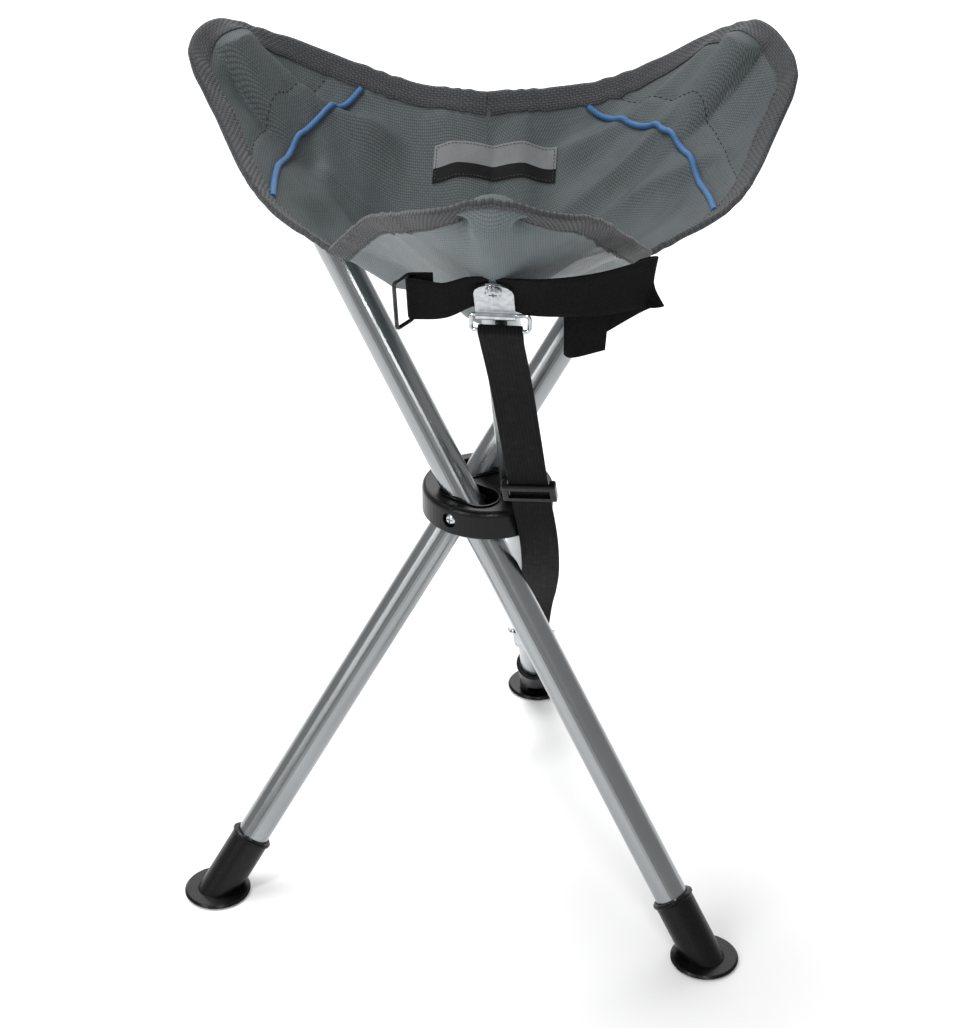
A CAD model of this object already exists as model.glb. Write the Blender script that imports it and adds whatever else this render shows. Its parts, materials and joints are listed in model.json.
"""The looks of a folding three-leg stool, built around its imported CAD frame.

Metres, +Z up.  The seat is drawn over the hub's axis as one surface and cut into
three parts, one for each leg, so that each part bends with its own leg.
"""
import json
import math

import bpy
import numpy as np
from mathutils import Matrix, Vector


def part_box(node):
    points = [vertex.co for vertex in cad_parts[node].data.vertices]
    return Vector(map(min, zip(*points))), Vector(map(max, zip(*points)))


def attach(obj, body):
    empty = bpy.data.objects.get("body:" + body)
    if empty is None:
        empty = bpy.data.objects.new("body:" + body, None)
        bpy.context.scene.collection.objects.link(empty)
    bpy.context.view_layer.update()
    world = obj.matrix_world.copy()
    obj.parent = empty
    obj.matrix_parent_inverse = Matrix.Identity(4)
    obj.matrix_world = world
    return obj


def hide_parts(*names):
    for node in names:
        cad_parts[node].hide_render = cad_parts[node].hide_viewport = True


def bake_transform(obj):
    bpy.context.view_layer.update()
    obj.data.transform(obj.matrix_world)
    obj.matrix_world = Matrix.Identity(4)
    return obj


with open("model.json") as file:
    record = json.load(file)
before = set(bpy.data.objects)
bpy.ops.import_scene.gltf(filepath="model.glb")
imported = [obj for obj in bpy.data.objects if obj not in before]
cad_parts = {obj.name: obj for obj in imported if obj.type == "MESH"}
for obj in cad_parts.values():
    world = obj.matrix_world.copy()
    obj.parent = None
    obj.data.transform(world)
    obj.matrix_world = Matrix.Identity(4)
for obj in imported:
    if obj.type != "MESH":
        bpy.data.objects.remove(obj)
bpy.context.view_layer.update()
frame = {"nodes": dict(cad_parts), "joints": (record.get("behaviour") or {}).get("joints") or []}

# --- sizes --------------------------------------------------------------------------
LEG_TILT = math.radians(34.67)    # each leg against the vertical, stool open
TUBE_END = 0.3313                 # from the pivot to the top of a leg's plug

SEAT_MIDDLE = 0.4140              # height of the cloth at the hub's axis
SEAT_ROUND = 0.020
CORNER_SAG = 0.37
CORNER_SPREAD = math.radians(34)
OVER_TUBE = 0.0165                # tube's axis to the cloth's upper face
TUBE_SOFTNESS = 0.004
CORNER_END = 0.1985               # a corner's tip, the way its leg leans
CORNER_HEIGHT = 0.5685
CLOTH = 0.0010                    # thickness of the seat's cloth
BINDING_WIDTH = 0.0150

PIPING_CREST = (0.136, -0.015)    # a corner's piping at its furthest: the leg's way, and from the tube
PIPING_BOW = (3.0, 5.4)           # how fast it comes back on either side of that, per metre
PIPING_RADIUS = 0.0021
SEAM_BEYOND = 0.017               # from the piping to the pocket's seam

POCKET_MOUTH = 0.266              # along the leg, from the pivot
POCKET_RADIUS = 0.0124
POCKET_UNDER = 0.0016             # at least this far under the seat's upper face
POCKET_ROUND = 0.015              # how softly the pocket closes over the tube's end

FOLD_CREASE = 0.0018              # how sharply the cloth is creased along a fold

LABEL_MIDDLE = (-0.0046, 0.0815)
LABEL_SIZE = (0.0780, 0.0165)
LABEL_SLOPE = 0.20

WEBBING = 0.025
TAPE = 0.030
STRAP_THICKNESS = 0.0015
TAPE_THICKNESS = 0.0014
TAPE_STANDOFF = 0.0008            # from the tape's path to its face, at its ring
RING_WIRE = 0.0012                # radius of a strap ring's wire
GAP = 0.0003                      # between pieces that touch

CORNERS = ("left", "front", "right")

# The seat's edge: the middles of its sides, and each corner's points on from one
# side's middle, round its tip, to the next side's middle, from the hub's axis.
SIDE_MIDDLES = {
    "back": (-0.0128, 0.1092, 0.5185),
    "left": (-0.0882, -0.0657, 0.4800),
    "right": (0.1010, -0.0435, 0.4780),
}
CORNER_EDGES = {
    "left": ("back", [(-0.0590, 0.1088, 0.5230), (-0.1028, 0.1080, 0.5370), (-0.1520, 0.1050, 0.5545)],
             [(-0.1925, 0.0490, 0.5615), (-0.1700, 0.0150, 0.5300), (-0.1345, -0.0335, 0.4975)], "left"),
    "front": ("left", [(-0.0568, -0.1189, 0.5230), (-0.0325, -0.1586, 0.5430), (-0.0098, -0.1880, 0.5580)],
              [(0.0504, -0.1880, 0.5595), (0.0740, -0.1591, 0.5450), (0.0889, -0.1118, 0.5160)], "right"),
    "right": ("right", [(0.1490, -0.0090, 0.4975), (0.1700, 0.0400, 0.5200), (0.1833, 0.0760, 0.5525)],
              [(0.1325, 0.1390, 0.5550), (0.0960, 0.1435, 0.5330), (0.0524, 0.1328, 0.5190)], "back"),
}

# Folds in the cloth, on the floor plan from the hub's axis: start, end, how wide each
# flank is (left of the way from start to end, right of it), and height.
FOLDS = [
    ((-0.184, 0.080), (-0.066, 0.078), (0.0042, 0.0220), 0.0140),
    ((-0.172, 0.054), (-0.108, 0.042), (0.0060, 0.0070), -0.0070),
    ((-0.176, 0.026), (-0.100, 0.006), (0.0110, 0.0110), 0.0036),
    ((-0.124, 0.044), (-0.030, 0.036), (0.0150, 0.0050), 0.0060),
    ((-0.120, 0.034), (-0.010, -0.030), (0.0090, 0.0140), 0.0052),
    ((-0.115, 0.000), (-0.040, -0.050), (0.0090, 0.0090), -0.0036),
    ((0.168, 0.122), (0.030, 0.062), (0.0060, 0.0110), 0.0090),
    ((0.150, 0.100), (0.050, 0.052), (0.0055, 0.0070), -0.0055),
    ((0.145, 0.134), (0.030, 0.094), (0.0090, 0.0045), 0.0070),
    ((0.150, 0.056), (0.050, 0.060), (0.0050, 0.0120), 0.0060),
    ((0.170, 0.078), (0.090, 0.026), (0.0080, 0.0080), -0.0042),
    ((0.115, 0.014), (0.000, -0.020), (0.0100, 0.0140), 0.0050),
    ((0.100, -0.010), (0.030, -0.045), (0.0080, 0.0110), -0.0030),
    ((-0.013, 0.112), (0.001, 0.048), (0.0100, 0.0100), -0.0052),
    ((0.010, 0.110), (0.022, 0.045), (0.0090, 0.0110), 0.0032),
    ((-0.045, 0.105), (-0.016, 0.045), (0.0110, 0.0090), 0.0032),
    ((0.010, -0.190), (-0.004, -0.050), (0.0090, 0.0090), 0.0048),
    ((0.038, -0.188), (0.048, -0.060), (0.0090, 0.0090), 0.0044),
    ((0.024, -0.175), (0.022, -0.070), (0.0070, 0.0070), -0.0036),
    ((0.085, -0.060), (0.020, -0.050), (0.0110, 0.0110), 0.0042),
    ((-0.070, -0.070), (-0.010, -0.050), (0.0110, 0.0110), 0.0040),
]


# --- places from the frame -------------------------------------------------------------
def hub_axis():
    low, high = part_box("hub_body")
    return np.array(((low.x + high.x) / 2, (low.y + high.y) / 2, 0.0))


HUB = hub_axis()


class Leg:
    """One leg's directions and pivot, from its fold joint."""

    def __init__(self, name):
        joint = next(j for j in frame["joints"] if j["name"] == f"{name}_leg_fold")
        self.name = name
        self.body = f"leg_{name}"
        self.pivot = np.array(joint["pos_m"], float)
        self.out = -np.array(joint["axis"], float)
        self.out /= np.linalg.norm(self.out)
        self.lean = np.array((self.out[1], -self.out[0], 0.0))
        self.up = self.lean * math.sin(LEG_TILT) + np.array((0, 0, math.cos(LEG_TILT)))
        self.face = np.cross(self.up, self.out)
        self.side = float((self.pivot - HUB) @ self.out)

    def place(self, x, y):
        """Points over the hub's axis as (distance the way the leg leans, distance along its pin)."""
        return x * self.lean[0] + y * self.lean[1], x * self.out[0] + y * self.out[1]

    def plan(self, far, side):
        return far * self.lean[0] + side * self.out[0], far * self.lean[1] + side * self.out[1]

    def local(self, points):
        """World points as (along the pin, towards the seat's face, up the leg), from the pivot."""
        away = points - self.pivot
        return np.stack([away @ self.out, away @ self.face, away @ self.up], axis=-1)

    def world(self, local):
        return (self.pivot + local[..., :1] * self.out + local[..., 1:2] * self.face
                + local[..., 2:3] * self.up)

    def blend(self, made):
        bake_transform(made)


LEGS = {name: Leg(name) for name in CORNERS}


def smooth_curve(points, per_span):
    """A curve through the points, tangent to the chords, even where they stand unevenly."""
    points = np.asarray(points, float)
    points = np.vstack([2 * points[0] - points[1], points, 2 * points[-1] - points[-2]])
    knots = np.sqrt(np.linalg.norm(np.diff(points[:, :3], axis=0), axis=1))
    curve = []
    for k in range(1, len(points) - 2):
        a, b, c, d = points[k - 1:k + 3]
        before, here, after = knots[k - 1:k + 2]
        leave = ((b - a) / before - (c - a) / (before + here) + (c - b) / here) * here
        arrive = ((c - b) / here - (d - b) / (here + after) + (d - c) / after) * here
        for t in np.linspace(0, 1, per_span, endpoint=False):
            curve.append(b * (2 * t**3 - 3 * t**2 + 1) + leave * (t**3 - 2 * t**2 + t)
                         + c * (3 * t**2 - 2 * t**3) + arrive * (t**3 - t**2))
    curve.append(points[-2])
    return np.array(curve)


def lengths(points):
    """Distance along a line at each of its points."""
    return np.r_[0, np.cumsum(np.linalg.norm(np.diff(points, axis=0), axis=1))]


def evenly(points, step):
    """The line again, with points a step apart."""
    along = lengths(points)
    wanted = np.linspace(0, along[-1], max(int(along[-1] / step), 2) + 1)
    return np.stack([np.interp(wanted, along, points[:, k]) for k in range(points.shape[1])], axis=1)


def unit(vectors):
    return vectors / np.linalg.norm(vectors, axis=-1, keepdims=True)


# --- the seat's surface --------------------------------------------------------------------
def corner_edge(name):
    """A corner's edge from one side's middle, round the tip, to the next side's middle."""
    first, leaving, arriving, last = CORNER_EDGES[name]
    leg = LEGS[name]
    tip = (*leg.plan(CORNER_END, leg.side), CORNER_HEIGHT)
    return smooth_curve([SIDE_MIDDLES[first], *leaving, tip, *arriving, SIDE_MIDDLES[last]], 24)


def edge_by_turn():
    """The seat's edge as (turn about the hub's axis, reach, height), in order of turn."""
    edge = np.vstack([corner_edge(name) for name in CORNERS])
    turn = np.arctan2(edge[:, 1], edge[:, 0])
    rows = np.stack([turn, np.hypot(edge[:, 0], edge[:, 1]), edge[:, 2]], axis=1)
    return rows[np.argsort(turn)]


EDGE = edge_by_turn()


def edge_at(turn):
    """Reach and height of the seat's edge at a turn about the hub's axis."""
    reach = np.interp(turn, EDGE[:, 0], EDGE[:, 1], period=2 * math.pi)
    height = np.interp(turn, EDGE[:, 0], EDGE[:, 2], period=2 * math.pi)
    return reach, height


def tube_cover(leg, x, y):
    """Height of cloth that lies on a leg's tube."""
    far, side = leg.place(x, y)
    side = np.abs(side - leg.side)
    above = np.sqrt(np.maximum(OVER_TUBE**2 - side**2, 0.0))
    slope = leg.pivot[2] + far / math.tan(LEG_TILT) + above / math.sin(LEG_TILT)
    end = leg.pivot[2] + TUBE_END * math.cos(LEG_TILT) + above * math.sin(LEG_TILT)
    return np.minimum(slope, end) - np.maximum(side - OVER_TUBE, 0.0) * 2


def fold_height(x, y):
    """What the folds add to the cloth's height."""
    total = np.zeros_like(x)
    for start, end, flanks, height in FOLDS:
        start, end = np.array(start), np.array(end)
        span = end - start
        length = np.linalg.norm(span)
        along = ((x - start[0]) * span[0] + (y - start[1]) * span[1]) / length**2
        across = ((x - start[0]) * -span[1] + (y - start[1]) * span[0]) / length
        across = across - 0.10 * flanks[0] * np.sin(9 * along + 40 * start[0])
        width = np.where(across > 0, *flanks)
        fade = np.clip(np.minimum(along, 1 - along) * 4 + 0.25, 0, 1)
        fade = fade * fade * (3 - 2 * fade)
        crease = np.sqrt(across**2 + FOLD_CREASE**2) - FOLD_CREASE
        total += height * fade * np.exp(-((crease / width) ** 1.3))
    return total


def piping_far(leg, side):
    """Where a corner's piping crosses the corner, the way the leg leans."""
    far, beside = PIPING_CREST
    off = side - leg.side - beside
    return far - np.where(off < 0, *PIPING_BOW) * off**2


def seam_height(x, y):
    """Hollows and puckers along the piping and the pocket's seam."""
    total = np.zeros_like(x)
    for leg in LEGS.values():
        far, side = leg.place(x, y)
        near = np.abs(side - leg.side) < 0.095
        for beyond, depth in ((0.0, 0.0014), (SEAM_BEYOND, 0.0010)):
            off = far - piping_far(leg, side) - beyond
            ripple = 0.00025 * np.sin(side / 0.0021 + 2.0 * np.sin(side / 0.009))
            pucker = ripple * np.exp(-np.abs(off) / 0.006)
            total += near * (pucker - depth * np.exp(-(off / 0.0022) ** 2))
    return total


def seat_height(x, y):
    """Height of the cloth's upper face over points of the floor plan."""
    turn = np.arctan2(y, x)
    reach, rim = edge_at(turn)
    round_off = SEAT_ROUND
    share = (np.sqrt(x**2 + y**2 + round_off**2) - round_off) / (np.hypot(reach, round_off) - round_off)
    bend = np.ones_like(x)
    for leg in LEGS.values():
        heading = math.atan2(leg.lean[1], leg.lean[0]) + math.atan2(leg.side, CORNER_END)
        off = np.mod(turn - heading + math.pi, 2 * math.pi) - math.pi
        bend += CORNER_SAG * np.exp(-(off / CORNER_SPREAD) ** 2)
    height = SEAT_MIDDLE + (rim - SEAT_MIDDLE) * share**bend
    inside = np.clip((1 - share) * reach / 0.018, 0, 1)
    height = height + (fold_height(x, y) + seam_height(x, y)) * inside
    for leg in LEGS.values():
        cover = tube_cover(leg, x, y)
        height = (height + cover + np.hypot(height - cover, TUBE_SOFTNESS)) / 2
    gather = 0.0004 * np.sin(turn * 55 + 3 * np.sin(turn * 17)) * np.exp(-(1 - share) * reach / 0.012)
    return height + gather


def seat_points(x, y):
    """World points on the cloth's upper face."""
    return np.stack([x + HUB[0], y + HUB[1], seat_height(x, y)], axis=-1)


def seat_normals(x, y):
    """Which way the cloth's upper face looks."""
    step = 0.0008
    slope_x = (seat_height(x + step, y) - seat_height(x - step, y)) / (2 * step)
    slope_y = (seat_height(x, y + step) - seat_height(x, y - step)) / (2 * step)
    return unit(np.stack([-slope_x, -slope_y, np.ones_like(x)], axis=-1))


# --- mesh making -------------------------------------------------------------------------------
def grid_faces(rows, columns, start=0, flip=False, around=False):
    faces = []
    for j in range(rows - 1):
        for k in range(columns if around else columns - 1):
            after = (k + 1) % columns
            face = (start + j * columns + k, start + j * columns + after,
                    start + (j + 1) * columns + after, start + (j + 1) * columns + k)
            faces.append(face[::-1] if flip else face)
    return faces


def face_outward(mesh, points):
    """Turn the faces so that a closed mesh's normals point out of it."""
    mesh.calc_loop_triangles()
    triangles = np.zeros(len(mesh.loop_triangles) * 3, np.int32)
    mesh.loop_triangles.foreach_get("vertices", triangles)
    a, b, c = points[triangles].reshape(-1, 3, 3).transpose(1, 0, 2)
    if np.sum(a * np.cross(b, c)) < 0:
        mesh.flip_normals()


def piece(name, points, faces, surfaces, cut=None, normals=None, sharp=40.0, second=()):
    """A mesh object from points and faces; cut places each point on the flat cloth, in metres.

    Faces whose numbers are in second wear the second of two surfaces.
    """
    mesh = bpy.data.meshes.new(name)
    points = np.asarray(points, float)
    mesh.from_pydata(points.tolist(), [], faces)
    for surface in surfaces:
        mesh.materials.append(surface)
    for number in second:
        mesh.polygons[number].material_index = 1
    face_outward(mesh, points)
    mesh.shade_smooth()
    if normals is None:
        mesh.set_sharp_from_angle(angle=math.radians(sharp))
    else:
        mesh.normals_split_custom_set_from_vertices(np.asarray(normals).tolist())
    if cut is not None:
        corners = np.zeros(len(mesh.loops), np.int32)
        mesh.loops.foreach_get("vertex_index", corners)
        layer = mesh.uv_layers.new(name="cut")
        layer.data.foreach_set("uv", np.asarray(cut, np.float32)[corners].ravel())
    made = bpy.data.objects.new(name, mesh)
    bpy.context.scene.collection.objects.link(made)
    return made


def rim_faces(rows, columns, other):
    """Faces that join two equal grids along their edges; other is the second grid's first point."""
    rim = [k for k in range(columns - 1)]
    rim += [j * columns + columns - 1 for j in range(rows - 1)]
    rim += [(rows - 1) * columns + k for k in range(columns - 1, 0, -1)]
    rim += [j * columns for j in range(rows - 1, 0, -1)]
    return [(there, here, other + here, other + there) for here, there in zip(rim, rim[1:] + rim[:1])]


def slab(name, top, bottom, cut, surfaces, normals=None):
    """A closed sheet between two grids of points; its underside wears the last surface."""
    rows, columns = top.shape[:2]
    count = rows * columns
    faces = grid_faces(rows, columns) + grid_faces(rows, columns, count, flip=True)
    faces += rim_faces(rows, columns, count)
    points = np.vstack([top.reshape(-1, 3), bottom.reshape(-1, 3)])
    flat = np.vstack([cut.reshape(-1, 2)] * 2)
    if normals is not None:
        normals = np.vstack([normals.reshape(-1, 3), -normals.reshape(-1, 3)])
    below = (rows - 1) * (columns - 1)
    second = range(below, 2 * below) if len(surfaces) > 1 else ()
    return piece(name, points, faces, surfaces, flat, normals, second=second)


def swept(name, rings, cut, surface, sharp):
    """A solid through rings of points, closed round each ring and capped at both ends."""
    rows, columns = rings.shape[:2]
    faces = grid_faces(rows, columns, around=True)
    faces.append(tuple(range(columns))[::-1])
    faces.append(tuple((rows - 1) * columns + k for k in range(columns)))
    return piece(name, rings.reshape(-1, 3), faces, [surface], cut.reshape(-1, 2), sharp=sharp)


def round_cord(name, path, radius, surface, sides=14):
    """A round cord along a path of world points."""
    along = unit(np.gradient(path, axis=0))
    side = unit(np.cross(along, np.tile((0.0, 0.0, 1.0), (len(path), 1))))
    face = np.cross(side, along)
    turns = np.linspace(0, 2 * math.pi, sides, endpoint=False)
    across = np.cos(turns)[None, :, None] * side[:, None]
    upward = np.sin(turns)[None, :, None] * face[:, None]
    rings = path[:, None] + radius * (across + upward)
    travel = lengths(path)
    cut = np.stack(np.broadcast_arrays(turns[None] * radius, travel[:, None]), axis=-1)
    return swept(name, rings, cut, surface, sharp=60)


def strap(name, path, across, width, thickness, surface):
    """A flat woven strap along path; across holds the way its width runs at each point."""
    along = unit(np.gradient(path, axis=0))
    across = unit(across - along * np.sum(across * along, axis=1, keepdims=True))
    face = np.cross(along, across)
    half, deep, edge = width / 2, thickness / 2, thickness * 0.32
    inner = np.linspace(-half + edge, half - edge, 9)
    outline = [(u, -deep) for u in inner] + [(half - edge * 0.2, -deep * 0.6), (half, 0.0)]
    outline += [(half - edge * 0.2, deep * 0.6)] + [(u, deep) for u in inner[::-1]]
    outline += [(-half + edge * 0.2, deep * 0.6), (-half, 0.0), (-half + edge * 0.2, -deep * 0.6)]
    outline = np.array(outline)
    rings = path[:, None] + outline[None, :, :1] * across[:, None] + outline[None, :, 1:] * face[:, None]
    travel = lengths(path)
    cut = np.stack(np.broadcast_arrays(outline[None, :, 0], travel[:, None]), axis=-1)
    return swept(name, rings, cut, surface, sharp=50)


def stitches(name, path, normals, surface, length=0.0024, pitch=0.0034, radius=0.00036):
    """Short raised threads along a path; normals say which way the cloth looks."""
    travel = lengths(path)
    points, faces, cut = [], [], []
    for middle in np.arange(pitch, travel[-1] - pitch / 2, pitch):
        ends = [np.array([np.interp(middle + d, travel, path[:, k]) for k in range(3)])
                for d in np.linspace(-length / 2, length / 2, 5)]
        normal = unit(np.array([np.interp(middle, travel, normals[:, k]) for k in range(3)]))
        along = unit(ends[-1] - ends[0])
        side = np.cross(normal, along)
        base = len(points)
        for spot, swell in zip(ends, (0.35, 0.9, 1.0, 0.9, 0.35)):
            for turn in np.linspace(0, 2 * math.pi, 6, endpoint=False):
                reach = side * math.cos(turn) + normal * (math.sin(turn) * 0.8)
                points.append(spot + reach * radius * swell + normal * radius * (swell - 0.8))
                cut.append((turn * radius, middle))
        faces += grid_faces(5, 6, base, around=True)
        faces.append(tuple(range(base, base + 6))[::-1])
        faces.append(tuple(range(base + 24, base + 30)))
    return piece(name, points, faces, [surface], cut, sharp=80)


# --- materials ----------------------------------------------------------------------------------
class Finish:
    """A material with its shader, and short ways to add nodes to it."""

    def __init__(self, name, roughness, metallic=0.0, **sockets):
        self.material = bpy.data.materials.new(name)
        self.material.use_nodes = True
        self.tree = self.material.node_tree
        self.shader = self.tree.nodes["Principled BSDF"]
        self.shader.inputs["Roughness"].default_value = roughness
        self.shader.inputs["Metallic"].default_value = metallic
        for socket, value in sockets.items():
            self.shader.inputs[socket.replace("_", " ").title().replace("Ior", "IOR")].default_value = value

    def node(self, kind, inputs=(), **settings):
        made = self.tree.nodes.new(kind)
        for setting, value in settings.items():
            setattr(made, setting, value)
        for socket, value in dict(inputs).items():
            if isinstance(value, bpy.types.NodeSocket):
                self.tree.links.new(value, made.inputs[socket])
            else:
                made.inputs[socket].default_value = value
        return made

    def sum(self, operation, first, second=0.0):
        return self.node("ShaderNodeMath", {0: first, 1: second}, operation=operation).outputs[0]

    def cloth_place(self):
        return self.node("ShaderNodeUVMap", uv_map="cut").outputs["UV"]

    def object_place(self):
        return self.node("ShaderNodeTexCoord").outputs["Object"]

    def noise(self, place, scale, detail=3.0, roughness=0.55):
        return self.node("ShaderNodeTexNoise", {"Vector": place, "Scale": scale, "Detail": detail,
                                                "Roughness": roughness}).outputs["Fac"]

    def scaled(self, place, scale, turn=0.0):
        return self.node("ShaderNodeMapping", {"Vector": place, "Scale": scale,
                                               "Rotation": (0.0, 0.0, turn)}).outputs["Vector"]

    def between(self, value, low, high, out_low, out_high):
        return self.node("ShaderNodeMapRange", {"Value": value, "From Min": low, "From Max": high,
                                                "To Min": out_low, "To Max": out_high}).outputs["Result"]

    def ramp(self, value, *stops):
        made = self.node("ShaderNodeValToRGB", {"Fac": value})
        elements = made.color_ramp.elements
        while len(elements) < len(stops):
            elements.new(0.5)
        for element, (position, color) in zip(elements, stops):
            element.position = position
            element.color = (*color, 1.0)
        return made.outputs["Color"]

    def mix(self, share, first, second, blend="MIX"):
        made = self.node("ShaderNodeMix", data_type="RGBA", blend_type=blend)
        for index, value in ((0, share), (6, first), (7, second)):
            if isinstance(value, bpy.types.NodeSocket):
                self.tree.links.new(value, made.inputs[index])
            else:
                made.inputs[index].default_value = value
        return made.outputs[2]

    def bump(self, height, distance, strength=1.0, normal=None):
        inputs = {"Height": height, "Distance": distance, "Strength": strength}
        if normal is not None:
            inputs["Normal"] = normal
        return self.node("ShaderNodeBump", inputs).outputs["Normal"]

    def plug(self, socket, value):
        self.tree.links.new(value, self.shader.inputs[socket])


def woven(name, dark, light, pitch, roughness, depth, aspect=1.0, turn=0.0, mottle=0.35,
          grain=60.0, **sockets):
    """Plain-woven cloth: crossing threads of one pitch, in two tones, with uneven dye and wear."""
    made = Finish(name, roughness, **sockets)
    place = made.cloth_place()
    threads = made.scaled(place, (1 / pitch, aspect / pitch, 1.0), turn)
    parts = made.node("ShaderNodeSeparateXYZ", {"Vector": threads})
    checker = made.node("ShaderNodeTexChecker", {"Vector": threads, "Scale": 1.0}).outputs["Fac"]
    ridges = []
    for axis in ("X", "Y"):
        wave = made.sum("SINE", made.sum("MULTIPLY", parts.outputs[axis], math.pi))
        ridges.append(made.sum("ABSOLUTE", wave))
    warp = made.sum("MULTIPLY", ridges[0], checker)
    weft = made.sum("MULTIPLY", ridges[1], made.sum("SUBTRACT", 1.0, checker))
    height = made.sum("ADD", warp, made.sum("MULTIPLY", weft, 0.85))
    slub = made.noise(made.scaled(place, (1 / pitch, 0.06 / pitch, 1.0), turn), 1.0, 2.0)
    patch = made.noise(place, grain, 4.0, 0.6)
    shade = made.sum("ADD", made.between(height, 0.1, 1.0, 0.0, 0.62),
                     made.between(slub, 0.3, 0.7, -0.04, 0.05))
    shade = made.sum("ADD", shade, made.between(patch, 0.3, 0.7, -mottle / 2, mottle / 2))
    color = made.ramp(shade, (0.0, dark), (1.0, light))
    made.plug("Base Color", color)
    made.plug("Roughness", made.between(patch, 0.3, 0.7, roughness - 0.06, min(roughness + 0.08, 1.0)))
    crumple = made.bump(made.noise(place, 110.0, 3.0), 0.0012, 0.35)
    made.plug("Normal", made.bump(height, depth, 0.9, crumple))
    return made.material


def ribbed_webbing(name, dark, light):
    """Nylon webbing: fine ribs along the strap, crossed by the rows of its weave."""
    made = Finish(name, 0.78, specular_ior_level=0.08)
    place = made.cloth_place()
    parts = made.node("ShaderNodeSeparateXYZ", {"Vector": place})
    rib = made.sum("ABSOLUTE", made.sum("SINE", made.sum("MULTIPLY", parts.outputs["X"], math.pi / 0.0021)))
    slant = made.sum("ADD", parts.outputs["Y"], made.sum("MULTIPLY", rib, 0.0006))
    row = made.sum("ABSOLUTE", made.sum("SINE", made.sum("MULTIPLY", slant, math.pi / 0.0010)))
    height = made.sum("ADD", made.sum("MULTIPLY", rib, 0.7), made.sum("MULTIPLY", row, 0.4))
    patch = made.noise(place, 160.0, 4.0)
    shade = made.sum("ADD", made.between(height, 0.0, 1.1, 0.0, 0.8),
                     made.between(patch, 0.3, 0.7, -0.2, 0.2))
    made.plug("Base Color", made.ramp(shade, (0.0, dark), (1.0, light)))
    made.plug("Roughness", made.between(patch, 0.3, 0.7, 0.62, 0.82))
    made.plug("Normal", made.bump(height, 0.0004, 0.9))
    return made.material


def loop_tape(name, dark, light):
    """Touch-close tape: a dense mat of tiny loops between two woven edges."""
    made = Finish(name, 0.95, specular_ior_level=0.08)
    place = made.cloth_place()
    loops = made.node("ShaderNodeTexVoronoi", {"Vector": place, "Scale": 2200.0}).outputs["Distance"]
    pile = made.noise(place, 900.0, 4.0, 0.7)
    height = made.sum("ADD", made.sum("SUBTRACT", 1.0, loops), pile)
    shade = made.between(made.sum("ADD", made.sum("MULTIPLY", pile, 0.7), made.sum("MULTIPLY", loops, -0.3)),
                         0.0, 0.5, 0.0, 1.0)
    made.plug("Base Color", made.ramp(shade, (0.0, dark), (1.0, light)))
    made.plug("Normal", made.bump(height, 0.0003, 0.6))
    return made.material


def satin_tube(name, leg):
    """Satin anodised tube with very fine drawing lines along it and faint handling marks."""
    made = Finish(name, 0.34, metallic=1.0, anisotropic=0.25)
    place = made.object_place()
    turned = Vector((0, 0, 1)).rotation_difference(Vector(leg.up)).inverted().to_euler()
    along = made.node("ShaderNodeMapping", {"Vector": place, "Rotation": tuple(turned)}).outputs["Vector"]
    lines = made.noise(made.scaled(along, (900.0, 900.0, 9.0)), 1.0, 3.0, 0.6)
    marks = made.noise(made.scaled(along, (60.0, 60.0, 22.0)), 1.0, 5.0, 0.65)
    cloud = made.noise(along, 14.0, 2.0)
    tone = made.sum("ADD", made.sum("MULTIPLY", lines, 0.20), made.sum("MULTIPLY", cloud, 0.80))
    made.plug("Base Color", made.ramp(tone, (0.3, (0.290, 0.302, 0.310)), (0.7, (0.335, 0.348, 0.357))))
    rough = made.sum("ADD", made.between(lines, 0.3, 0.7, 0.21, 0.25),
                     made.between(marks, 0.55, 0.75, 0.0, 0.05))
    made.plug("Roughness", rough)
    made.plug("Normal", made.bump(lines, 0.00001, 0.2, made.bump(marks, 0.00003, 0.1)))
    return made.material


def moulded(name, color, roughness, grain=1400.0):
    """Moulded black plastic: fine spark-eroded grain, flow clouds, and a few light scuffs."""
    made = Finish(name, roughness, specular_ior_level=0.22)
    place = made.object_place()
    fine = made.noise(place, grain, 2.0, 0.6)
    flow = made.noise(place, 30.0, 4.0)
    scuff = made.noise(made.scaled(place, (220.0, 60.0, 60.0), 0.6), 1.0, 4.0, 0.7)
    dull = tuple(c * 0.72 for c in color)
    pale = tuple(c * 1.7 + 0.006 for c in color)
    base = made.ramp(flow, (0.3, dull), (0.7, color))
    made.plug("Base Color", made.mix(made.between(scuff, 0.62, 0.80, 0.0, 0.5), base, (*pale, 1.0)))
    rough = made.sum("ADD", made.between(fine, 0.3, 0.7, roughness - 0.05, roughness + 0.06),
                     made.between(scuff, 0.6, 0.8, 0.0, 0.12))
    made.plug("Roughness", rough)
    made.plug("Normal", made.bump(fine, 0.00008, 0.5, made.bump(flow, 0.0004, 0.12)))
    return made.material


def plated(name, dark, light, roughness):
    """Plated metal: the faint spangle of the plating and small rubbed marks."""
    made = Finish(name, roughness, metallic=1.0)
    place = made.object_place()
    spangle = made.node("ShaderNodeTexVoronoi", {"Vector": place, "Scale": 420.0}).outputs["Color"]
    cloud = made.noise(place, 150.0, 4.0, 0.6)
    fleck = made.node("ShaderNodeSeparateColor", {"Color": spangle}).outputs["Red"]
    tone = made.sum("ADD", made.sum("MULTIPLY", fleck, 0.35), made.sum("MULTIPLY", cloud, 0.65))
    made.plug("Base Color", made.ramp(tone, (0.25, dark), (0.75, light)))
    made.plug("Roughness", made.between(cloud, 0.3, 0.7, roughness - 0.07, roughness + 0.10))
    made.plug("Normal", made.bump(cloud, 0.00008, 0.3))
    return made.material


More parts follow.
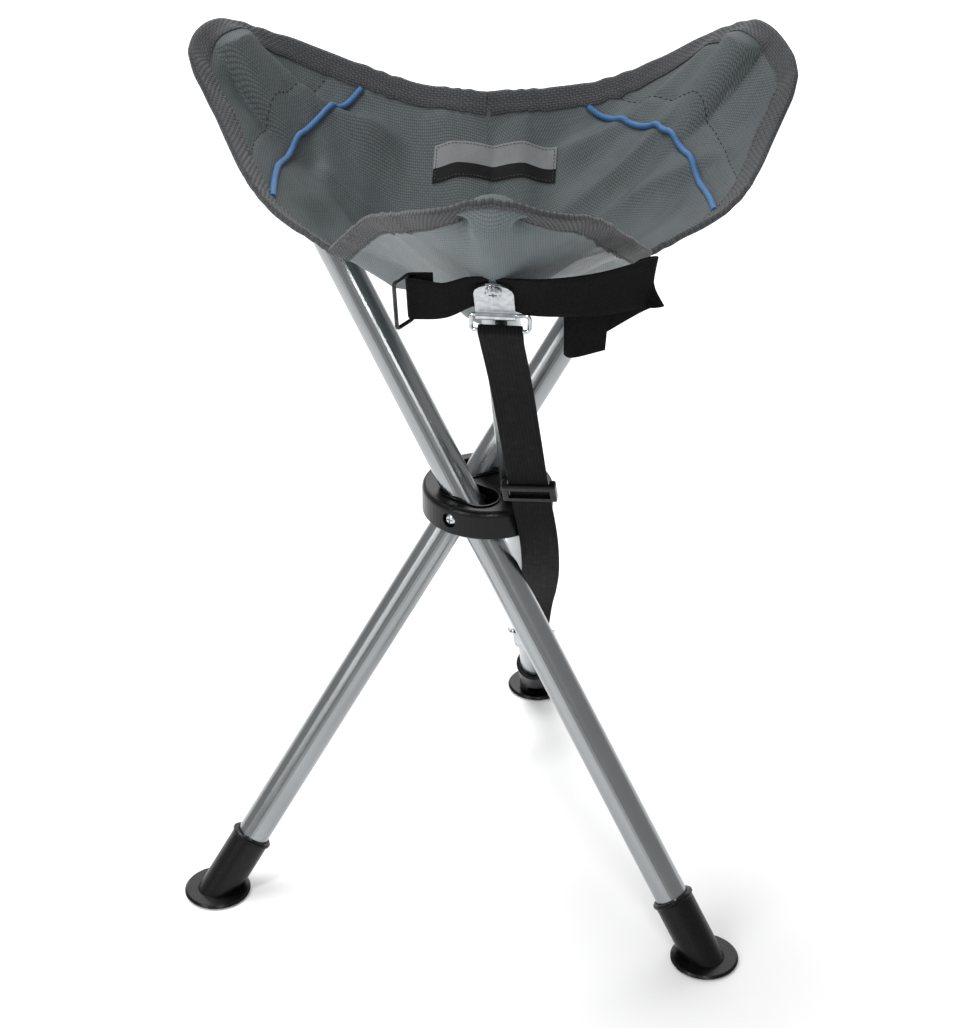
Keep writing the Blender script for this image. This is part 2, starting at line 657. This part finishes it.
PAINT = {
    "cloth": woven("seat_cloth", (0.020, 0.025, 0.0265), (0.118, 0.138, 0.143), 0.0013, 0.68, 0.00012,
                   turn=0.6, mottle=0.16, specular_ior_level=0.35),
    "coating": woven("coated_underside", (0.045, 0.058, 0.062), (0.180, 0.220, 0.232), 0.0012, 0.46, 0.00016,
                     mottle=0.20),
    "binding": woven("binding_tape", (0.008, 0.0086, 0.0096), (0.068, 0.071, 0.077), 0.0017, 0.88, 0.0004,
                     aspect=0.8, mottle=0.25, sheen_weight=0.15),
    "piping": woven("piping", (0.004, 0.035, 0.110), (0.040, 0.200, 0.470), 0.0011, 0.55, 0.0002,
                    turn=0.7, mottle=0.2, sheen_weight=0.1),
    "label_light": woven("label_grey", (0.085, 0.090, 0.092), (0.230, 0.240, 0.242), 0.0006, 0.6, 0.0001),
    "label_dark": woven("label_black", (0.001, 0.001, 0.001), (0.009, 0.009, 0.010), 0.0006, 0.6, 0.0001,
                        specular_ior_level=0.15),
    "thread": woven("thread", (0.010, 0.011, 0.012), (0.060, 0.064, 0.068), 0.0005, 0.7, 0.0001),
    "black_thread": woven("black_thread", (0.006, 0.006, 0.006), (0.040, 0.040, 0.042), 0.0005, 0.7, 0.0001),
    "webbing": ribbed_webbing("webbing", (0.0004, 0.0004, 0.0004), (0.0085, 0.0085, 0.0088)),
    "tape": loop_tape("touch_close_tape", (0.0012, 0.0012, 0.0012), (0.014, 0.014, 0.014)),
    "plastic": moulded("black_plastic", (0.0026, 0.0027, 0.0029), 0.30),
    "steel": plated("zinc_steel", (0.38, 0.40, 0.42), (0.60, 0.62, 0.64), 0.20),
    "black_steel": plated("black_zinc_steel", (0.020, 0.020, 0.021), (0.060, 0.060, 0.062), 0.22),
    "brass": plated("brass", (0.48, 0.34, 0.12), (0.80, 0.62, 0.30), 0.28),
}


def paint_frame():
    """Give the frame's own rigid nodes their finished materials."""
    plastic = ["hub_body", "strap_slider"]
    steel = ["upper_bracket", "lower_bracket", "upper_bracket_screw", "lower_bracket_screw",
             "upper_strap_ring", "lower_strap_ring"]
    frame["nodes"]["closure_ring"].data.materials[0] = PAINT["black_steel"]
    for name, leg in LEGS.items():
        plastic += [f"foot_{name}", f"leg_plug_{name}"]
        steel += [f"pivot_screw_{name}", f"pivot_washer_{name}"]
        frame["nodes"][f"leg_tube_{name}"].data.materials[0] = satin_tube(f"satin_tube_{name}", leg)
        frame["nodes"][f"pivot_insert_{name}"].data.materials[0] = PAINT["brass"]
    for names, surface in ((plastic, PAINT["plastic"]), (steel, PAINT["steel"])):
        for name in names:
            frame["nodes"][name].data.materials[0] = surface


# --- the seat's pieces --------------------------------------------------------------------------
def seat_part(name):
    """One third of the seat's cloth, from the hub's axis to its corner."""
    leg = LEGS[name]
    first, _, _, last = CORNER_EDGES[name]
    start = math.atan2(SIDE_MIDDLES[first][1], SIDE_MIDDLES[first][0])
    end = math.atan2(SIDE_MIDDLES[last][1], SIDE_MIDDLES[last][0])
    if end < start:
        end += 2 * math.pi
    turns = np.linspace(start, end, 217)
    shares = np.linspace(0.012, 0.999, 92)
    reach, _ = edge_at(turns)
    x = shares[:, None] * reach[None] * np.cos(turns)[None]
    y = shares[:, None] * reach[None] * np.sin(turns)[None]
    normals = seat_normals(x, y)
    top = seat_points(x, y)
    far, side = leg.place(x, y)
    return slab(f"seat_cloth_{name}", top, top - normals * CLOTH, np.stack([side, far], axis=-1),
                [PAINT["cloth"], PAINT["coating"]], normals)


def edge_frames(name, step=0.002):
    """Along a corner's edge: floor points, inward ways on the plan, and how far to step on the plan."""
    line = evenly(corner_edge(name), step)
    x, y = line[:, 0], line[:, 1]
    along = unit(np.gradient(line[:, :2], axis=0))
    inward = np.stack([-along[:, 1], along[:, 0]], axis=1)
    middle = -line[:, :2]
    inward *= np.sign(np.sum(inward * middle, axis=1)).mean()
    return x, y, inward


def on_edge(x, y, inward, width, rise):
    """World points a width in from the edge along the cloth, and a rise above it."""
    probe = 0.006
    drop = seat_height(x + inward[:, 0] * probe, y + inward[:, 1] * probe) - seat_height(x, y)
    share = probe / np.hypot(probe, drop)
    inner_x = x + inward[:, 0] * max(width, 0.0) * share
    inner_y = y + inward[:, 1] * max(width, 0.0) * share
    points = seat_points(inner_x, inner_y)
    normals = seat_normals(inner_x, inner_y)
    if width < 0:
        level = np.stack([inward[:, 0] * share, inward[:, 1] * share, drop / probe * share], axis=-1)
        points = points + unit(level) * width
    return points + normals * np.reshape(rise, (-1, 1)), normals


BINDING_OUTLINE = [
    (1.00, 0.0001), (1.00, 0.0008), (0.95, 0.0012), (0.65, 0.0010), (0.33, 0.0012), (0.10, 0.0015),
    (-0.03, 0.0009), (-0.07, -0.0004), (-0.03, -0.0018), (0.10, -0.0028), (0.33, -0.0024),
    (0.65, -0.0021), (0.95, -0.0023), (1.00, -0.0019), (1.00, -0.0010),
]


def binding(name):
    """Woven tape folded over the cloth's edge, with the small ripples that its stitching pulls."""
    x, y, inward = edge_frames(name)
    travel = np.arange(len(x)) * 0.002
    ripple = np.sin(travel / 0.0060 + 1.7 * np.sin(travel / 0.031)) * np.sin(travel / 0.023)
    rings = []
    cut = []
    for share, rise in BINDING_OUTLINE:
        width = share * BINDING_WIDTH
        lifted = rise * (1 + 0.06 * ripple)
        points, _ = on_edge(x, y, inward, width, lifted)
        rings.append(points)
        cut.append(np.stack([np.full(len(x), width if rise > 0 else -width), travel], axis=-1))
    rings = np.stack(rings, axis=1)
    return swept(f"binding_{name}", rings, np.stack(cut, axis=1), PAINT["binding"], sharp=55)


def binding_stitches(name):
    x, y, inward = edge_frames(name)
    sides = []
    for label, rise, sign in (("upper", 0.0011, 1.0), ("under", -0.0022, -1.0)):
        points, normals = on_edge(x, y, inward, BINDING_WIDTH * 0.86, np.full(len(x), rise))
        sides.append(stitches(f"binding_stitches_{label}_{name}", points, normals * sign, PAINT["thread"]))
    return sides


def across_corner(name, beyond, step=0.002):
    """Floor points along a corner's piping line, shifted beyond it, from binding to binding."""
    leg = LEGS[name]
    side = np.linspace(-0.10, 0.12, 400) + leg.side
    x, y = leg.plan(piping_far(leg, side) + beyond, side)
    reach, _ = edge_at(np.arctan2(y, x))
    edge_gap = reach - np.hypot(x, y)
    middle = int(np.argmin(np.abs(side - leg.side)))
    inside = edge_gap > BINDING_WIDTH * 0.85
    low = middle
    while low > 0 and inside[low - 1]:
        low -= 1
    high = middle
    while high < len(side) - 1 and inside[high + 1]:
        high += 1
    line = np.stack([x[low:high + 1], y[low:high + 1]], axis=1)
    line = evenly(line, step)
    return line[:, 0], line[:, 1]


def piping(name):
    """Round piping sewn into the seam where the corner panel begins."""
    x, y = across_corner(name, 0.0)
    laid = seat_points(x, y) + seat_normals(x, y) * (PIPING_RADIUS - CLOTH * 0.8)
    path = laid.copy()
    for _ in range(16):
        path[1:-1] = (path[1:-1] * 2 + path[:-2] + path[2:]) / 4
    path[:, 2] = np.maximum(path[:, 2], laid[:, 2])
    return round_cord(f"seat_piping_{name}", path, PIPING_RADIUS, PAINT["piping"])


def seam_stitches(name):
    x, y = across_corner(name, SEAM_BEYOND)
    normals = seat_normals(x, y)
    path = seat_points(x, y) + normals * 0.0002
    return stitches(f"seam_stitches_{name}", path, normals, PAINT["black_thread"], 0.0030, 0.0044, 0.00042)


def pocket(name):
    """The cloth under a corner that holds the tube's end: taut from edge to edge round the tube."""
    leg = LEGS[name]
    x, y, inward = edge_frames(name)
    lines = []
    for share in (0.30, 0.70, 1.02):
        line, _ = on_edge(x, y, inward, BINDING_WIDTH * share, np.full(len(x), -POCKET_UNDER))
        lines.append(leg.local(line))
    peaks = [line[:, 2].max() for line in lines]
    heights = POCKET_MOUTH + (peaks[0] - 0.0004 - POCKET_MOUTH) * np.linspace(0, 1, 60) ** 0.8
    rows = []
    for height in heights:
        inside = [line for line, peak in zip(lines, peaks) if height < peak - 0.0002]
        ends = [crossings(line, height) for line in inside]
        past = max(height - (TUBE_END - 0.002), 0.0)
        radius = POCKET_RADIUS * math.sqrt(max(1 - (past / POCKET_ROUND) ** 2, 0.0)) + 0.0005
        clear = [pair for pair in ends[1:] if min(np.hypot(*end) for end in pair) > radius * 1.1]
        rows.append(taut_section(ends[:1] + clear, radius, height))
    grid = np.array(rows)
    for _ in range(5):
        grid[1:-1, 1:-1] = (grid[1:-1, 1:-1] * 2 + grid[:-2, 1:-1] + grid[2:, 1:-1]
                            + grid[1:-1, :-2] + grid[1:-1, 2:]) / 6
    sag = np.sin(np.linspace(0, math.pi, grid.shape[1]))[None]
    sag = sag * np.linspace(1, 0, grid.shape[0])[:, None] ** 2
    grid[..., 1] -= 0.0020 * sag
    closing = np.clip((heights - TUBE_END) / (heights[-1] - TUBE_END), 0, 1)[:, None] ** 3
    rim = (grid[:, :1, 1] + grid[:, -1:, 1]) / 2
    grid[..., 1] += closing * (rim - grid[..., 1])
    outer = leg.world(grid)
    plan = outer - HUB
    ceiling = seat_height(plan[..., 0], plan[..., 1]) - POCKET_UNDER
    outer[..., 2] = np.minimum(outer[..., 2], ceiling)
    along_rows = np.gradient(outer, axis=0)
    along_columns = np.gradient(outer, axis=1)
    normals = unit(np.cross(along_rows, along_columns))
    if (normals @ leg.face).mean() > 0:
        normals = -normals
    inner = outer - normals * CLOTH
    cloth_x = grid[..., 0]
    cut = np.stack([cloth_x, grid[..., 2]], axis=-1)
    return slab(f"pocket_{name}", outer, inner, cut, [PAINT["coating"]])


def crossings(line, height):
    """Where a line that rises to a corner's tip and falls again passes a height, left then right."""
    top = int(np.argmax(line[:, 2]))
    ends = []
    for half in (line[:top + 1], line[top:][::-1]):
        order = np.argsort(half[:, 2])
        ends.append(np.array([np.interp(height, half[order, 2], half[order, k]) for k in (0, 1)]))
    return sorted(ends, key=lambda end: end[0])


def taut_section(ends, radius, height, count=81):
    """A cloth that leaves the binding and is pulled round the outer side of a tube.

    It is drawn in a plane across the tube; ends holds its points in the binding, outermost first.
    """
    start, end = ends[-1]
    left = tangent(start, radius, -1)
    right = tangent(end, radius, 1)
    first, last = math.atan2(left[1], left[0]), math.atan2(right[1], right[0])
    if first > 0:
        first -= 2 * math.pi
    if last > 0:
        last -= 2 * math.pi
    if last < first:
        last = first = (first + last) / 2
    arc = [(radius * math.cos(a), radius * math.sin(a)) for a in np.linspace(first, last, 16)]
    leaving = [pair[0] for pair in ends]
    arriving = [pair[1] for pair in ends[::-1]]
    line = evenly(np.array([*leaving, *arc, *arriving]), 0.0002)
    along = lengths(line)
    wanted = np.linspace(0, along[-1], count)
    section = np.stack([np.interp(wanted, along, line[:, k]) for k in range(2)], axis=1)
    return np.column_stack([section, np.full(count, height)])


def tangent(point, radius, sign):
    """Where a line from a point touches a circle round the tube's axis, on its outer side."""
    distance = max(np.hypot(*point), radius * 1.0001)
    heading = math.atan2(point[1], point[0])
    turn = heading + sign * -math.acos(radius / distance)
    return np.array((radius * math.cos(turn), radius * math.sin(turn)))


def label():
    """Blank two-tone woven patch, sewn on near the back edge and creased with the cloth."""
    width, depth = LABEL_SIZE
    u = np.linspace(-width / 2, width / 2, 61)
    pieces = []
    for tone, low, high in (("label_dark", -0.5, -0.10), ("label_light", -0.10, 0.5)):
        v = np.linspace(low, high, 13) * depth
        x = LABEL_MIDDLE[0] + np.tile(u, (len(v), 1))
        y = LABEL_MIDDLE[1] + v[:, None] + u[None] * LABEL_SLOPE
        normals = seat_normals(x, y)
        bottom = seat_points(x, y) + normals * 0.0001
        cut = np.stack(np.broadcast_arrays(u[None], v[:, None]), axis=-1)
        pieces.append(slab(tone, bottom + normals * 0.0007, bottom, cut, [PAINT[tone]]))
    corners = [(-0.48, -0.44), (0.48, -0.44), (0.48, 0.44), (-0.48, 0.44), (-0.48, -0.44)]
    outline = evenly(np.array([(a * width, b * depth) for a, b in corners]), 0.001)
    x = LABEL_MIDDLE[0] + outline[:, 0]
    y = LABEL_MIDDLE[1] + outline[:, 1] + outline[:, 0] * LABEL_SLOPE
    normals = seat_normals(x, y)
    sewn = stitches("label_stitches", seat_points(x, y) + normals * 0.0009, normals, PAINT["thread"],
                    0.0016, 0.0024, 0.00028)
    return pieces, sewn


# --- straps ------------------------------------------------------------------------------------------
def arc_points(centre, start, end, radius, steps=9):
    """Half turn round centre, from direction start through direction end to -start."""
    turns = np.linspace(0, math.pi, steps)
    return [centre + radius * (start * math.cos(a) + end * math.sin(a)) for a in turns]


def ring_bar(node, way):
    """Middle of a wire ring's bar that lies furthest a given way."""
    points = np.array([v.co for v in frame["nodes"][node].data.vertices])
    reach = points @ way
    far_side = points[reach > reach.max() - 0.0023]
    low, high = far_side.min(axis=0), far_side.max(axis=0)
    return (low + high) / 2


CARRY_ROUTE = [
    (0.0262, -0.1280, 0.4270), (0.0297, -0.0985, 0.3760), (0.0330, -0.0690, 0.3250),
    (0.0368, -0.0420, 0.2780), (0.0362, -0.0070, 0.2320), (0.0325, 0.0270, 0.1950),
    (0.0275, 0.0600, 0.1600),
]


def carry_strap():
    """Carrying strap, sewn back on itself round the wire ring at each end."""
    inside = np.array(CARRY_ROUTE) + HUB
    side = np.array((1.0, 0.0, 0.0))
    radius = RING_WIRE + GAP + STRAP_THICKNESS / 2
    bars = []
    for node, after in (("upper_strap_ring", inside[0]), ("lower_strap_ring", inside[-1])):
        low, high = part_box(node)
        way = (after - np.array((low + high) / 2)) * (0.0, 1.0, 1.0)
        bars.append(ring_bar(node, unit(way)))
    starts = []
    for bar, after in ((bars[0], inside[0]), (bars[1], inside[-1])):
        away = after - bar
        away = unit(away - side * (away @ side))
        face = np.cross(side, away)
        front = face if face[1] < 0 else -face
        arc = arc_points(bar, -front, -away, radius)
        starts.append((arc[0] + away * 0.020 - front * 0.0002, arc))
    (tail_a, arc_a), (tail_b, arc_b) = starts
    middle = smooth_curve(np.vstack([arc_a[-1], inside, arc_b[-1]]), 24)
    path = np.vstack([tail_a, arc_a[:-1], middle, arc_b[:-1][::-1], tail_b])
    path = evenly(smooth_curve(path, 3), 0.0011)
    across = np.tile(side, (len(path), 1))
    return strap("carrying_strap", path, across, WEBBING, STRAP_THICKNESS, PAINT["webbing"])


# Points on the touch-close tape from the hub's axis, each with the way its width runs:
# left of the tab that holds it, and on from the tab to its end.
CLOSURE_LEFT = [
    ((-0.0245, -0.1740, 0.4998), (0.0, -0.30, 0.95)),
    ((-0.0080, -0.1725, 0.4990), (0.0, -0.45, 0.90)),
]
CLOSURE_RIGHT = [
    ((0.0480, -0.1610, 0.4985), (0.0, -0.45, 0.90)),
    ((0.0760, -0.1440, 0.4945), (0.0, -0.30, 0.95)),
    ((0.0980, -0.1170, 0.4890), (0.0, -0.15, 0.99)),
    ((0.1045, -0.1060, 0.4860), (0.0, -0.10, 0.99)),
    ((0.0990, -0.1030, 0.4810), (0.0, -0.10, 0.99)),
    ((0.0790, -0.1170, 0.4730), (0.0, -0.10, 0.99)),
    ((0.0620, -0.1305, 0.4680), (0.0, -0.10, 0.99)),
    ((0.0570, -0.1355, 0.4665), (0.0, -0.10, 0.99)),
    ((0.0600, -0.1385, 0.4660), (0.0, -0.10, 0.99)),
    ((0.0800, -0.1250, 0.4655), (0.0, -0.10, 0.99)),
]


def closure_strap():
    """Touch-close tape held under the upper bracket, folded back on itself at its right end."""
    leg = LEGS["front"]
    along = tuple(leg.up)
    under = leg.pivot - HUB + leg.up * 0.2790 - leg.face * 0.01295
    under_tab = [((under[0] + x, under[1], under[2]), along) for x in (-0.0125, 0.0, 0.0125)]
    stops = [*CLOSURE_LEFT, *under_tab, *CLOSURE_RIGHT]
    both = smooth_curve([(*p, *a) for p, a in stops], 16)
    path, across = both[:, :3] + HUB, both[:, 3:]
    first = unit(across[0])
    away = path[0] - path[1]
    away = unit(away - first * (away @ first))
    back = np.cross(away, first)
    back = back if back[1] > 0 else -back
    radius = RING_WIRE + GAP + TAPE_STANDOFF
    loop = arc_points(path[0] + back * radius, back, away, radius)
    path = np.vstack([loop[0] - away * 0.012, loop[:-1], path])
    across = np.vstack([np.tile(first, (len(loop), 1)), across])
    both = evenly(np.hstack([path, across * 1e-4]), 0.0012)
    return strap("closing_tape", both[:, :3], both[:, 3:] * 1e4, TAPE, TAPE_THICKNESS, PAINT["tape"])


# --- stage, light and camera ------------------------------------------------------------------------
def make_stage():
    floor = Finish("floor", 0.9)
    tone = floor.noise(floor.object_place(), 1.5, 2.0)
    floor.plug("Base Color", floor.ramp(tone, (0.3, (0.90, 0.90, 0.90)), (0.7, (0.93, 0.93, 0.93))))
    reach = 14.0
    made = piece("floor", [(-reach, -reach, 0), (reach, -reach, 0), (reach, reach, 0), (-reach, reach, 0)],
                 [(0, 1, 2, 3)], [floor.material])


def area_light(name, place, size, power, target=(0.0, 0.0, 0.3)):
    data = bpy.data.lights.new(name, "AREA")
    data.shape = "RECTANGLE"
    data.size, data.size_y = size
    data.energy = power
    made = bpy.data.objects.new(name, data)
    bpy.context.scene.collection.objects.link(made)
    made.location = place
    aim = Vector(target) - Vector(place)
    made.rotation_euler = aim.to_track_quat("-Z", "Y").to_euler()


def make_light():
    world = bpy.data.worlds.new("studio")
    world.use_nodes = True
    world.node_tree.nodes["Background"].inputs["Color"].default_value = (1.0, 1.0, 1.0, 1.0)
    world.node_tree.nodes["Background"].inputs["Strength"].default_value = 0.42
    bpy.context.scene.world = world
    bpy.context.scene.view_settings.view_transform = "Standard"
    area_light("left_strip", (-1.35, -1.45, 1.5), (0.08, 1.8), 19)
    area_light("front_strip", (0.45, -1.95, 1.9), (0.05, 1.4), 17)
    area_light("top", (-0.6, 0.5, 2.4), (1.3, 1.2), 46)
    area_light("behind", (0.0, 4.2, 2.6), (7.0, 3.0), 260, target=(0.0, 4.4, 0.0))


def make_camera():
    azimuth, elevation, roll = (math.radians(a) for a in (5.78, 29.46, 0.28))
    distance = 1.4861
    back = np.array((math.sin(azimuth) * math.cos(elevation), -math.cos(azimuth) * math.cos(elevation),
                     math.sin(elevation)))
    right = unit(np.cross((0.0, 0.0, 1.0), back))
    above = np.cross(back, right)
    across = math.cos(roll) * right + math.sin(roll) * above
    upward = math.cos(roll) * above - math.sin(roll) * right
    target = HUB + np.array((0.0, 0.0, LEGS["front"].pivot[2]))
    data = bpy.data.cameras.new("camera")
    data.lens = 79.19
    data.sensor_width = 36.0
    data.shift_x, data.shift_y = -0.0021, -0.0192
    data.clip_end = 50.0
    made = bpy.data.objects.new("camera", data)
    bpy.context.scene.collection.objects.link(made)
    turn = Matrix((across, upward, back)).transposed().to_4x4()
    made.matrix_world = Matrix.Translation(Vector(target + back * distance)) @ turn
    bpy.context.scene.camera = made


# --- the whole ------------------------------------------------------------------------------------------
SIDES_AFTER = {"left": "left", "front": "right", "right": "back"}


def build_seat():
    for name, leg in LEGS.items():
        cloth = seat_part(name)
        tape = binding(name)
        sewn = binding_stitches(name)
        cord = piping(name)
        seam = seam_stitches(name)
        under = pocket(name)
        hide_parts(f"corner_panel_{name}")
        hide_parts(f"corner_binding_{name}", f"edge_binding_{SIDES_AFTER[name]}")
        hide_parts(f"piping_{name}")
        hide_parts(f"corner_pocket_{name}")
        for made in (cloth, tape, cord, seam, *sewn):
            leg.blend(made)
        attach(under, leg.body)
    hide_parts("seat_panel")


def build_label():
    (dark, light), sewn = label()
    for made in (dark, light, sewn):
        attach(made, "hub")
    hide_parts("label_patch")


def build_straps():
    carry = carry_strap()
    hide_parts("carry_strap")
    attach(carry, "leg_front")
    tape = closure_strap()
    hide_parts("closure_strap")
    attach(tape, "leg_front")


paint_frame()
build_seat()
build_label()
build_straps()
make_stage()
make_light()
make_camera()
